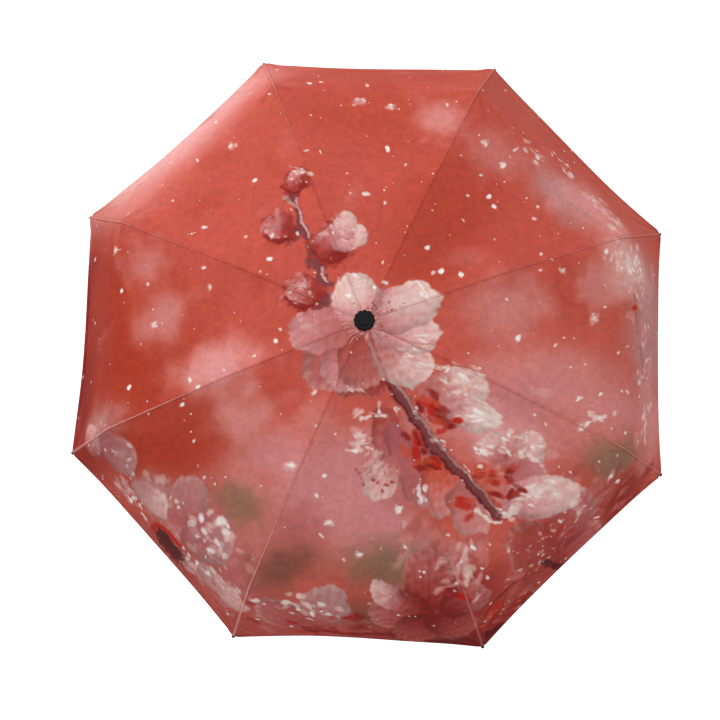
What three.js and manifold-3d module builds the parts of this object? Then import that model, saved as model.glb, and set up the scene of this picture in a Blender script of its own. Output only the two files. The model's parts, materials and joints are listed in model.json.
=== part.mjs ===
// A compact three-fold umbrella, open, standing on its handle.
// Millimetres, +Z up, shaft axis on Z, origin at the middle of the handle's bottom face.
import * as THREE from "three";
import { mergeVertices } from "three/addons/utils/BufferGeometryUtils.js";
import Module from "manifold-3d";

// ---- Driving dimensions ----
const RIBS = 8;
const FIRST_RIB = 22.5; // azimuth of rib 1, degrees
const GAP = 0.3; // between pieces that touch
const SLIDE_GAP = 0.3; // radial, between telescoping tubes
const TUBE_WALL = 0.6;
const ROUND = 32; // sides of a turned piece

const HANDLE = { length: 67, radius: 16, waist: 13.5, topBand: 14, capHeight: 6, floor: 20 };
const BUTTON = { radius: 5.5, height: 46, proud: 1.2, depth: 5, travel: 2.5 };
const SHAFT = { radius: 6.5, lower: 250, middle: 245, top: 262, overlap: 110 };

const CROWN = { ringRadius: 10, radius: 13.2, height: 13, hingeHeight: 560 };
const RUNNER = { ringRadius: 12, radius: 14.6, flange: 7, sleeve: 9, length: 26, bore: 0.4 };
const RING_WIRE = 0.7; // radius of the wire that threads the rib eyes
const PIN = { radius: 0.8, play: 0.2, sides: 8 };
const EYE_STEPS = 4; // line segments in each arc of a link's outline
const CAP = { lobes: 12, radius: 14, lobe: 0.8, skirt: 4, disc: 7.5, discHeight: 3 };

// Each link is a flat bar in a vertical plane beside the rib's own plane:
// length between pivots, downward pitch, half height, eye radius, and side offset and thickness.
const INNER_RIB = { length: 198, pitch: 10, half: 1.8, eye: 2.2, side: 0, thick: 2.4 };
const MIDDLE_RIB = { length: 194, pitch: 21, half: 1.6, eye: 2.2, side: -2.6, thick: 1.6 };
const OUTER_RIB = { length: 145, pitch: 50, half: 1.2, eye: 2.0, side: 0, thick: 2.4 };
const STRETCHER = { length: 125, half: 1.5, eye: 2.0, side: 2.6, thick: 1.6, along: 70 };
const TIP = { radius: 2, length: 9 };

const CLOTH = { thick: 0.6, above: 4, start: 15.4, tipGap: 7, bow: 9 };

const SLOT_PLAY = 0.5; // each side of a link in its slot
const SLOT_DEPTH = 0.5; // behind a link's eye

// ---- Places worked out from them ----
const rad = THREE.MathUtils.degToRad;
const middleTubeRadius = SHAFT.radius - TUBE_WALL - SLIDE_GAP;
const topTubeRadius = middleTubeRadius - TUBE_WALL - SLIDE_GAP;
const lowerTubeTop = HANDLE.floor + SHAFT.lower;
const middleTubeBottom = lowerTubeTop - SHAFT.overlap;
const middleTubeTop = middleTubeBottom + SHAFT.middle;
const crownTop = CROWN.hingeHeight + CROWN.height / 2;
const topTubeTop = crownTop;
const buttonFace = -HANDLE.radius - BUTTON.proud;

// A point further along a link that points outwards and down.
const alongLink = (from, link, distance = link.length) => ({
  r: from.r + distance * Math.cos(rad(link.pitch)),
  z: from.z - distance * Math.sin(rad(link.pitch)),
});
const crownHinge = { r: CROWN.ringRadius, z: CROWN.hingeHeight };
const innerKnee = alongLink(crownHinge, INNER_RIB);
const outerKnee = alongLink(innerKnee, MIDDLE_RIB);
const stretcherPivot = alongLink(crownHinge, INNER_RIB, STRETCHER.along);
const stretcherRun = stretcherPivot.r - RUNNER.ringRadius;
const stretcherRise = Math.sqrt(STRETCHER.length ** 2 - stretcherRun ** 2);
const runnerHinge = { r: RUNNER.ringRadius, z: stretcherPivot.z - stretcherRise };
const stretcherPitch = -THREE.MathUtils.radToDeg(Math.atan2(stretcherRise, stretcherRun));

// ---- Materials ----
const finish = (color, roughness, metalness) =>
  new THREE.MeshStandardMaterial({ color, roughness, metalness });
const blackPlastic = finish("#161617", 0.45, 0);
const softBlack = finish("#1d1d1f", 0.75, 0);
const steel = finish("#a9abae", 0.35, 1);
const blackSteel = finish("#2a2b2d", 0.4, 0.8);
const fabric = finish("#c05046", 0.8, 0);

// ---- Solids ----
const wasm = await Module();
wasm.setup();

function solid(geometry) {
  const bare = geometry.index ? geometry.toNonIndexed() : geometry.clone();
  bare.deleteAttribute("normal");
  bare.deleteAttribute("uv");
  const merged = mergeVertices(bare, 1e-4);
  return new wasm.Manifold(
    new wasm.Mesh({
      numProp: 3,
      vertProperties: merged.attributes.position.array,
      triVerts: new Uint32Array(merged.index.array),
    }),
  );
}

function surface(manifold) {
  const mesh = manifold.getMesh();
  return new THREE.BufferGeometry()
    .setAttribute("position", new THREE.BufferAttribute(mesh.vertProperties, 3))
    .setIndex(new THREE.BufferAttribute(mesh.triVerts, 1));
}

const join = (geometries) => geometries.map(solid).reduce((a, b) => a.add(b));
const cut = (manifold, geometries) =>
  geometries.map(solid).reduce((a, b) => a.subtract(b), manifold);

// A solid of revolution about Z from [radius, height] points that run anticlockwise.
function turned(points, sides = ROUND) {
  const profile = points.map(([r, z]) => new THREE.Vector2(r, z));
  return new THREE.LatheGeometry(profile, sides).rotateX(Math.PI / 2);
}

function tube(radius, bore, bottom, top) {
  return turned([
    [bore, bottom],
    [radius, bottom],
    [radius, top],
    [bore, top],
    [bore, bottom],
  ]);
}

// A round bar along +Y, centred on the origin.
const crossPin = (radius, length, sides = PIN.sides) =>
  new THREE.CylinderGeometry(radius, radius, length, sides);

function block(sizeX, sizeY, sizeZ, x, y, z) {
  return new THREE.BoxGeometry(sizeX, sizeY, sizeZ).translate(x, y, z);
}

// ---- Links ----
// The side outline of a flat bar along +X from an eye at the origin to a far end.
function barOutline(link, farRadius) {
  const outline = new THREE.Shape();
  const near = Math.asin(link.half / link.eye);
  const far = Math.asin(Math.min(1, link.half / farRadius));
  outline.absarc(0, 0, link.eye, near, 2 * Math.PI - near, false);
  outline.absarc(link.length, 0, farRadius, far - Math.PI, Math.PI - far, false);
  return outline;
}

function eyeHole(x, radius) {
  const hole = new THREE.Path();
  hole.absarc(x, 0, radius, 0, 2 * Math.PI, true);
  return hole;
}

function bar(link, holes) {
  const outline = barOutline(link, link.eye);
  outline.holes = holes;
  const made = new THREE.ExtrudeGeometry(outline, {
    depth: link.thick,
    bevelEnabled: false,
    curveSegments: EYE_STEPS,
  });
  return made.rotateX(Math.PI / 2).translate(0, link.side + link.thick / 2, 0);
}

const pinHole = PIN.radius + PIN.play;
const ringHole = RING_WIRE + PIN.play + 0.1;

// The pin that a link carries, through the eye of the neighbour beside it.
function kneePin(x, link, neighbour) {
  const start = link.side;
  const end = neighbour.side - neighbour.thick / 2 - GAP;
  const length = Math.abs(end - start);
  return crossPin(PIN.radius, length).translate(x, (start + end) / 2, 0);
}

const innerRib = surface(
  join([
    bar(INNER_RIB, [eyeHole(0, ringHole)]),
    kneePin(INNER_RIB.length, INNER_RIB, MIDDLE_RIB),
  ]),
);
const middleRib = bar(MIDDLE_RIB, [eyeHole(0, pinHole), eyeHole(MIDDLE_RIB.length, pinHole)]);
const stretcher = bar(STRETCHER, [eyeHole(0, ringHole)]);

// The outer rib ends in a rounded tip that stands past the cloth.
function outerRibShape() {
  const tip = new THREE.CapsuleGeometry(TIP.radius, TIP.length - 2 * TIP.radius, 2, 8);
  tip.rotateZ(Math.PI / 2).translate(OUTER_RIB.length - TIP.length / 2, 0, 0);
  return surface(
    join([bar(OUTER_RIB, []), tip, kneePin(0, OUTER_RIB, MIDDLE_RIB)]),
  );
}
const outerRib = outerRibShape();

// ---- Cloth ----
// The line that the cloth follows over a rib, a little above the links.
function clothPoint(place, pitch) {
  return {
    r: place.r + CLOTH.above * Math.sin(rad(pitch)),
    z: place.z + CLOTH.above * Math.cos(rad(pitch)),
  };
}
const clothStart = clothPoint(
  alongLink(crownHinge, INNER_RIB, (CLOTH.start - CROWN.ringRadius) / Math.cos(rad(INNER_RIB.pitch))),
  INNER_RIB.pitch,
);
const clothKnee = clothPoint(innerKnee, (INNER_RIB.pitch + MIDDLE_RIB.pitch) / 2);
const clothBend = clothPoint(outerKnee, (MIDDLE_RIB.pitch + OUTER_RIB.pitch) / 2);
const clothTip = clothPoint(
  alongLink(outerKnee, OUTER_RIB, OUTER_RIB.length - CLOTH.tipGap),
  OUTER_RIB.pitch,
);

// A panel over one rib, out to the middle of the gore on each side. A row is one place along the rib.
function clothPanel(rows) {
  const half = Math.PI / RIBS;
  const points = [];
  for (const { r, z, bow = 0 } of rows) {
    const middle = r * Math.cos(half) - bow;
    const x = middle * Math.cos(half);
    const y = middle * Math.sin(half) - GAP / 2;
    points.push([x, -y, z], [r, 0, z], [x, y, z]);
  }
  const count = points.length;
  const all = [...points, ...points.map(([x, y, z]) => [x, y, z + CLOTH.thick])];
  const faces = [];
  const quad = (a, b, c, d) => faces.push(a, b, c, a, c, d);
  for (let row = 0; row + 1 < rows.length; row += 1) {
    for (let column = 0; column < 2; column += 1) {
      const a = row * 3 + column;
      quad(a + count, a + 3 + count, a + 4 + count, a + 1 + count);
      quad(a, a + 1, a + 4, a + 3);
    }
    const edge = row * 3;
    quad(edge, edge + 3, edge + 3 + count, edge + count);
    quad(edge + 2, edge + 2 + count, edge + 5 + count, edge + 5);
  }
  const last = (rows.length - 1) * 3;
  for (let column = 0; column < 2; column += 1) {
    quad(column, column + count, column + 1 + count, column + 1);
    const a = last + column;
    quad(a, a + 1, a + 1 + count, a + count);
  }
  return new THREE.BufferGeometry()
    .setAttribute("position", new THREE.Float32BufferAttribute(all.flat(), 3))
    .setIndex(faces);
}

const shifted = (point, distance) => ({ ...point, r: point.r + distance });
const innerCloth = clothPanel([clothStart, shifted(clothKnee, -GAP / 2)]);
const outerCloth = clothPanel([
  shifted(clothKnee, GAP / 2),
  clothBend,
  { ...clothTip, bow: CLOTH.bow },
]);

// ---- Hubs ----
// The ring of wire that threads the eyes, straight across each rib.
function eyeRing(radius) {
  const corner = radius / Math.cos(Math.PI / RIBS);
  return new THREE.TorusGeometry(corner, RING_WIRE, 8, RIBS).rotateZ(
    rad(FIRST_RIB) + Math.PI / RIBS,
  );
}

// A slot for each link, open outwards and through the hub's whole height.
function linkSlots(link, ringRadius, bottom, top) {
  const from = ringRadius - link.eye - SLOT_DEPTH;
  const length = 30;
  const width = link.thick + 2 * SLOT_PLAY;
  return Array.from({ length: RIBS }, (_, i) =>
    block(length, width, top - bottom, from + length / 2, link.side, (top + bottom) / 2).rotateZ(
      rad(FIRST_RIB) + (i * 2 * Math.PI) / RIBS,
    ),
  );
}

function crownHub() {
  const bottom = CROWN.hingeHeight - CROWN.height / 2;
  const body = solid(tube(CROWN.radius, topTubeRadius + GAP, bottom, crownTop));
  const slotted = cut(body, linkSlots(INNER_RIB, CROWN.ringRadius, bottom - 1, crownTop + 1));
  return surface(
    slotted.add(solid(eyeRing(CROWN.ringRadius).translate(0, 0, CROWN.hingeHeight))),
  );
}

function runnerBody() {
  const top = runnerHinge.z + RUNNER.flange / 2;
  const flangeBottom = runnerHinge.z - RUNNER.flange / 2;
  const bottom = top - RUNNER.length;
  const bore = SHAFT.radius + RUNNER.bore;
  const grip = turned([
    [bore, bottom],
    [RUNNER.sleeve + 1.5, bottom],
    [RUNNER.sleeve + 1.5, bottom + 2],
    [RUNNER.sleeve, bottom + 4],
    [RUNNER.sleeve, flangeBottom - 2],
    [RUNNER.radius, flangeBottom],
    [RUNNER.radius, top],
    [bore, top],
    [bore, bottom],
  ]);
  const slots = linkSlots(STRETCHER, RUNNER.ringRadius, flangeBottom - 3, top + 1);
  return surface(
    cut(solid(grip), slots).add(
      solid(eyeRing(RUNNER.ringRadius).translate(0, 0, runnerHinge.z)),
    ),
  );
}

// The cap on the crown: a scalloped skirt with a flat round disc on it.
function topCap() {
  const outline = new THREE.Shape();
  const steps = CAP.lobes * 6;
  for (let i = 0; i < steps; i += 1) {
    const angle = (i * 2 * Math.PI) / steps;
    const wave = Math.abs(Math.cos((angle * CAP.lobes) / 2));
    const r = CAP.radius - CAP.lobe + CAP.lobe * wave;
    if (i) outline.lineTo(r * Math.cos(angle), r * Math.sin(angle));
    else outline.moveTo(r, 0);
  }
  outline.closePath();
  const skirt = new THREE.ExtrudeGeometry(outline, {
    depth: CAP.skirt - 1,
    bevelSize: 0.8,
    bevelThickness: 1,
    bevelSegments: 1,
    bevelOffset: -0.8,
  });
  const disc = turned([
    [0, 0.5],
    [CAP.disc + 1, 0.5],
    [CAP.disc + 1, CAP.skirt],
    [CAP.disc, CAP.skirt + CAP.discHeight - 0.6],
    [CAP.disc - 0.6, CAP.skirt + CAP.discHeight],
    [0, CAP.skirt + CAP.discHeight],
  ]);
  return surface(join([skirt.translate(0, 0, 1), disc])).translate(0, 0, crownTop + GAP);
}

// ---- Handle ----
function handleGrip() {
  const bottom = HANDLE.capHeight + GAP;
  const grip = turned([
    [0, bottom],
    [HANDLE.radius, bottom],
    [HANDLE.waist, (bottom + HANDLE.length) * 0.45],
    [HANDLE.radius, HANDLE.length - HANDLE.topBand],
    [HANDLE.radius, HANDLE.length - 2],
    [HANDLE.radius - 2, HANDLE.length],
    [0, HANDLE.length],
  ]);
  const well = turned([
    [0, HANDLE.floor - GAP],
    [SHAFT.radius + GAP, HANDLE.floor - GAP],
    [SHAFT.radius + GAP, HANDLE.length + 1],
    [0, HANDLE.length + 1],
  ]);
  const mouth = -HANDLE.radius - BUTTON.proud - 1;
  const pocketEnd = buttonFace + BUTTON.depth + BUTTON.travel + GAP;
  const pocket = crossPin(BUTTON.radius + GAP, pocketEnd - mouth, ROUND).translate(
    0,
    (mouth + pocketEnd) / 2,
    BUTTON.height,
  );
  return surface(cut(solid(grip), [well, pocket]));
}

function handleEndCap() {
  return turned([
    [0, 0],
    [HANDLE.radius - 2, 0],
    [HANDLE.radius, 2],
    [HANDLE.radius, HANDLE.capHeight],
    [0, HANDLE.capHeight],
  ]);
}

function pushButton() {
  return crossPin(BUTTON.radius, BUTTON.depth, ROUND).translate(
    0,
    buttonFace + BUTTON.depth / 2,
    BUTTON.height,
  );
}

// ---- The umbrella ----
const umbrella = new THREE.Group();

function piece(name, geometry, material, parent = umbrella) {
  const mesh = new THREE.Mesh(geometry, material);
  mesh.name = name;
  parent.add(mesh);
  return mesh;
}

piece("handle_end_cap", handleEndCap(), blackPlastic);
piece("handle_grip", handleGrip(), softBlack);
piece("push_button", pushButton(), blackPlastic);
piece(
  "lower_tube",
  tube(SHAFT.radius, SHAFT.radius - TUBE_WALL, HANDLE.floor, lowerTubeTop),
  steel,
);
piece(
  "middle_tube",
  tube(middleTubeRadius, middleTubeRadius - TUBE_WALL, middleTubeBottom, middleTubeTop),
  steel,
);
piece(
  "top_tube",
  tube(topTubeRadius, topTubeRadius - TUBE_WALL, topTubeTop - SHAFT.top, topTubeTop),
  steel,
);
piece("crown_hub", crownHub(), blackPlastic);
piece("top_cap", topCap(), blackPlastic);
piece("runner", runnerBody(), blackPlastic);

for (let i = 0; i < RIBS; i += 1) {
  const number = i + 1;
  const plane = new THREE.Group();
  plane.rotation.z = rad(FIRST_RIB) + (i * 2 * Math.PI) / RIBS;
  umbrella.add(plane);

  const place = (mesh, at, pitch) => {
    mesh.position.set(at.r, 0, at.z);
    mesh.rotation.y = rad(pitch);
  };
  place(piece("inner_rib_" + number, innerRib, steel, plane), crownHinge, INNER_RIB.pitch);
  place(piece("middle_rib_" + number, middleRib, steel, plane), innerKnee, MIDDLE_RIB.pitch);
  place(piece("outer_rib_" + number, outerRib, blackSteel, plane), outerKnee, OUTER_RIB.pitch);
  place(piece("stretcher_" + number, stretcher, steel, plane), runnerHinge, stretcherPitch);
  piece("canopy_inner_" + number, innerCloth, fabric, plane);
  piece("canopy_outer_" + number, outerCloth, fabric, plane);
}

export default umbrella;
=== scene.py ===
# A compact three-fold umbrella, open, with a plum blossom print, around its imported CAD frame.
# Metres, in the frame's own axes. Each half gore of the canopy is parented to an empty named for its rib.
import json
from math import atan2, cos, degrees, hypot, pi, radians, sin

import bpy
import numpy as np
from mathutils import Matrix, Vector


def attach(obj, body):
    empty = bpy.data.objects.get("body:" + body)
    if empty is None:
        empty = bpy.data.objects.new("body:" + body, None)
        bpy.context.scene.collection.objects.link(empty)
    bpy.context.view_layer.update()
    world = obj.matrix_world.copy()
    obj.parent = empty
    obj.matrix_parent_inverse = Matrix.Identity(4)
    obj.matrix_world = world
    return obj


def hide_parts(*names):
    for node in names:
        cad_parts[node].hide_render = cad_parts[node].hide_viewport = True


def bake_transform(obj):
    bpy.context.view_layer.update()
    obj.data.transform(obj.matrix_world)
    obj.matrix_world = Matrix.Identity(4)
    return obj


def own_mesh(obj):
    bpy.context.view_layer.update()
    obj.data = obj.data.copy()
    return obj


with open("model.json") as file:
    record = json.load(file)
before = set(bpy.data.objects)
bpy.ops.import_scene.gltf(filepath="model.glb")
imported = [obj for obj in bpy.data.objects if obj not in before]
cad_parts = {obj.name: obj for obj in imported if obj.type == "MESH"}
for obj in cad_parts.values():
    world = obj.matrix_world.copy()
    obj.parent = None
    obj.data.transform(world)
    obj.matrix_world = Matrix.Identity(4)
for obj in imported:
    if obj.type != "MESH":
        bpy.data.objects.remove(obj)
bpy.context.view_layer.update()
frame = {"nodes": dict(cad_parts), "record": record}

MM = 0.001

# ---- what the frame says ----
RIBS = 8
HALF_GORE = pi / RIBS
joints = {j["name"]: j for j in frame["record"]["behaviour"]["joints"]}
ratios = {c["joint"]: c["ratio"] for c in frame["record"]["behaviour"]["couplings"]}
travel = joints["runner_slide"]["range_m"][0]  # the runner's place when it is folded
BODIES = ("inner_rib", "middle_rib", "outer_rib")


def rib_azimuth(number):
    axis = joints[f"inner_rib_{number}_hinge"]["axis"]
    return atan2(-axis[0], axis[1])


def in_plane(point):
    """A point of the row frame as (radius, height)."""
    return np.array([hypot(point[0], point[1]), point[2]])


pivots = [in_plane(joints[f"{body}_1_hinge"]["pos_m"]) for body in BODIES]
outer_points = [in_plane(v.co) for v in frame["nodes"]["outer_rib_1"].data.vertices]
rib_end = max(outer_points, key=lambda p: np.linalg.norm(p - pivots[2]))
stations = [*pivots, rib_end]  # crown hinge, inner knee, outer knee, rib tip
along = [(b - a) / np.linalg.norm(b - a) for a, b in zip(stations, stations[1:])]


def above(direction):
    """The unit vector square to a rib's direction, on the cloth's side."""
    return np.array([-direction[1], direction[0]])


def turned(vector, angle):
    """A (radius, height) vector turned downwards by an angle."""
    c, s = cos(angle), sin(angle)
    return np.array([vector[0] * c + vector[1] * s, -vector[0] * s + vector[1] * c])


# How far each rib has turned from rest when the runner is at the end of its travel.
turns = np.cumsum([ratios[f"{body}_1_hinge"] * travel for body in BODIES])
folded_pivots = [pivots[0]]
for zone in (0, 1):
    reach = turned(pivots[zone + 1] - pivots[zone], turns[zone])
    folded_pivots.append(folded_pivots[zone] + reach)

# ---- the canopy's shape ----
LIFT = 5.3 * MM  # cloth above the middle line of a rib
TIP_LIFT = 3.4 * MM
CLOTH_START = 12.5 * MM  # from the axis, under the cap
TIP_GAP = 7 * MM  # rib that stands past the cloth's corner
CLOTH_THICK = 0.45 * MM
RIB_ROUNDING = (14 * MM, 5 * MM)  # half length of the cloth's bend over each knee
GORE_ROUNDING = (95 * MM, 62 * MM)  # the same in the middle of a gore
HEM_BOW = 5 * MM  # how far the hem curves in between two tips
GORE_SAG = 3.5 * MM
SPACING = 2.0 * MM  # between the canopy's vertices
SEAM_SAMPLES, PLAN_SAMPLES = 700, 900  # places tried along a rib, for the seams and for the print
ACROSS_SAMPLES = 60  # places tried from a rib to mid gore
UNDERSIDE_STEP = 2  # vertices of the top to one of the underside


def knee_point(zone):
    """Where the cloth passes over the knee between two ribs."""
    middle = along[zone] + along[zone + 1]
    middle /= np.linalg.norm(middle)
    return stations[zone + 1] + above(middle) * LIFT / np.dot(above(middle), above(along[zone]))


line_start = pivots[0] + above(along[0]) * LIFT
line_start = line_start + along[0] * (CLOTH_START - line_start[0]) / along[0][0]
line_end = rib_end - along[2] * TIP_GAP + above(along[2]) * TIP_LIFT
corners = [line_start, knee_point(0), knee_point(1), line_end]
lengths = [np.linalg.norm(b - a) for a, b in zip(corners, corners[1:])]
marks = np.concatenate([[0], np.cumsum(lengths)])  # distance along the cloth's line
rib_length = marks[-1]
headings = [(b - a) / n for a, b, n in zip(corners, corners[1:], lengths)]


def profile(s, rounding):
    """The cloth's line over a rib at distance s, with each bend rounded."""
    s = np.asarray(s, float)
    line = np.stack([np.interp(s, marks, [c[axis] for c in corners]) for axis in (0, 1)], -1)
    for knee, half in zip((1, 2), rounding):
        t = (s - marks[knee] + half) / (2 * half)
        inside = (t > 0) & (t < 1)
        t = t[inside][:, None]
        first = corners[knee] - half * headings[knee - 1]
        last = corners[knee] + half * headings[knee]
        curve = (1 - t) ** 2 * first + 2 * t * (1 - t) * corners[knee] + t**2 * last
        line[inside] = curve
    return line


def smooth(low, high, value):
    t = np.clip((value - low) / (high - low), 0, 1)
    return t * t * (3 - 2 * t)


def bell(value, middle, width):
    return np.exp(-(((value - middle) / width) ** 2))


def gore_surface(s, u):
    """Points of a half gore in the rib's frame: s along the rib, u from the rib to mid gore."""
    s, u = np.broadcast_arrays(np.asarray(s, float), np.asarray(u, float))
    shape = s.shape
    s, u = s.ravel(), u.ravel()
    rib = profile(s, RIB_ROUNDING)
    middle = profile(s, GORE_ROUNDING)
    share = s / rib_length
    out = np.array([cos(HALF_GORE), sin(HALF_GORE)])
    bow = HEM_BOW * smooth(0.55, 1, share) * share
    sag = GORE_SAG * np.sin(pi * np.clip(share * 1.25, 0, 1))
    rib_place = np.stack([rib[:, 0], 0 * s, rib[:, 1]], -1)
    chord = rib[:, 0] * cos(HALF_GORE)
    chord_place = np.stack([chord * out[0], chord * out[1], rib[:, 1]], -1)
    reach = middle[:, 0] * cos(HALF_GORE) - bow
    mid_place = np.stack([reach * out[0], reach * out[1], middle[:, 1] - sag], -1)
    u = u[:, None]
    points = rib_place + (chord_place - rib_place) * u
    points += (mid_place - chord_place) * (2 * u - u * u)
    return points.reshape(*shape, 3)


def gore_normals(s, u):
    """Unit normals of gore_surface on the outer side: the same for both zones that meet at a seam."""
    ds, du = 1.5 * MM, 0.004
    down, up = np.clip(s + ds, 0, rib_length), np.clip(s - ds, 0, rib_length)
    left, right = np.clip(u + du, 0, 1), np.clip(u - du, 0, 1)
    along_rib = gore_surface(down, u) - gore_surface(up, u)
    across = gore_surface(s, left) - gore_surface(s, right)
    normals = np.cross(along_rib, across)
    return normals / np.linalg.norm(normals, axis=-1, keepdims=True)


def knee_normal(zone):
    both = along[zone] + along[zone + 1]
    return np.array([both[0], 0, both[1]]) / np.linalg.norm(both)


def seam_line(zone, u):
    """Where the surface meets the plane that halves a knee, for each u: that is where two zones join."""
    s = np.linspace(0, rib_length, SEAM_SAMPLES)
    corner = np.array([corners[zone + 1][0], 0, corners[zone + 1][1]])
    level = (gore_surface(s[:, None], u[None, :]) - corner) @ knee_normal(zone)
    return np.array([np.interp(0, level[:, i], s) for i in range(len(u))])


# ---- folds in the cloth ----
crease_draw = np.random.default_rng(7)
gore_noise = crease_draw.uniform(-1, 1, (RIBS, 12))


def crease_height(points, s, u, rib, side):
    """How far small folds lift the cloth off its even shape, in metres: none along the ribs."""
    draw = gore_noise[(rib if side > 0 else rib - 1) % RIBS]
    across = u if side > 0 else 2 - u  # over the whole gore, so both halves meet at 1
    lateral = points[..., 1]
    from_hem = rib_length - s
    from_knee = s - marks[2]
    # folds that gather at the rib's tip
    tip_distance = np.hypot(from_hem, lateral)
    tip_angle = np.arctan2(lateral, from_hem + 1e-6)
    gather = np.sin(tip_angle * (8 + 2 * draw[0]) + side * draw[1]) * 2.1 * MM
    height = gather * np.exp(-tip_distance / (36 * MM))
    # the pinch at the outer knee, with folds that run away from it
    knee_distance = np.hypot(from_knee, lateral)
    knee_angle = np.arctan2(lateral, from_knee)
    pinch = np.cos(knee_angle * 5 + side * draw[2]) * 1.5 * MM
    height += pinch * np.exp(-knee_distance / (38 * MM))
    height -= 1.2 * MM * bell(from_knee, -9 * MM, 10 * MM) * bell(lateral, 17 * MM, 9 * MM)
    # long soft creases beside the hem, over the middle of the gore
    wander = 5 * MM * np.sin(across * 3 * (1 + draw[3]) + 4 * draw[4])
    middle = smooth(0.25, 0.7, u)
    for place, width, depth in ((15, 4.5, 1.5 + 0.5 * draw[5]), (34, 9, 1.2 * draw[6])):
        height -= depth * MM * bell(from_hem, place * MM + wander, width * MM) * middle
    # slack between the ribs
    wave = np.sin(s / rib_length * (9 + 3 * draw[7]) + across * (2 + draw[8]) + 6 * draw[9])
    height += 1.3 * MM * wave * smooth(0.15, 0.7, u) * smooth(0.1, 0.4, s / rib_length)
    # tight lines from knee to knee along the bend
    lines = np.sin(from_knee / (6.5 * MM) + draw[10] + 1.5 * across)
    height += 0.5 * MM * lines * bell(from_knee, 6 * MM, 16 * MM) * u
    return height * smooth(1 * MM, 8 * MM, lateral)


# ---- colours ----
def srgb(code):
    return np.array([int(code[i : i + 2], 16) / 255 for i in (1, 3, 5)])


def linear(colour):
    colour = np.asarray(colour, float)
    return np.where(colour <= 0.04045, colour / 12.92, ((colour + 0.055) / 1.055) ** 2.4)


CORAL = srgb("#bb5043")
BRICK = srgb("#a03422")
SHADED_BRICK = srgb("#7a160d")
BUD_RED = srgb("#98352f")
CRIMSON = srgb("#84201b")
WINE = srgb("#7a1c1b")
SCARLET = srgb("#b3251a")
ORANGE = srgb("#bf452f")
MAROON = srgb("#53191b")
BARK = srgb("#753c3d")
BARK_LIGHT = srgb("#b08a82")
HAZE = srgb("#c97f7b")
PALE_HAZE = srgb("#d79391")
ROSE_DARK = srgb("#a2463f")
ROSE = srgb("#b0605c")
MID_PINK = srgb("#c27c7c")
MAUVE = srgb("#a35558")
PALE = srgb("#dcaea8")
CREAM = srgb("#dcc6ba")
SNOW = srgb("#ebe6e3")
OLIVE = srgb("#80634f")
OLIVE_DARK = srgb("#6d4538")
GREY = srgb("#b07e7c")
YELLOW = srgb("#c99a5c")


def ripple(x, y, size, seed):
    """Smooth uneven waves over the cloth, about -1 to 1 high and size long."""
    draw = np.random.default_rng(seed)
    total = 0 * x
    for _ in range(7):
        angle, phase, turn = *draw.uniform(0, 2 * pi, 2), 2 * pi / (size * draw.uniform(0.6, 1.6))
        total += np.sin((x * cos(angle) + y * sin(angle)) * turn + phase)
    return total / 2.6


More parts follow.
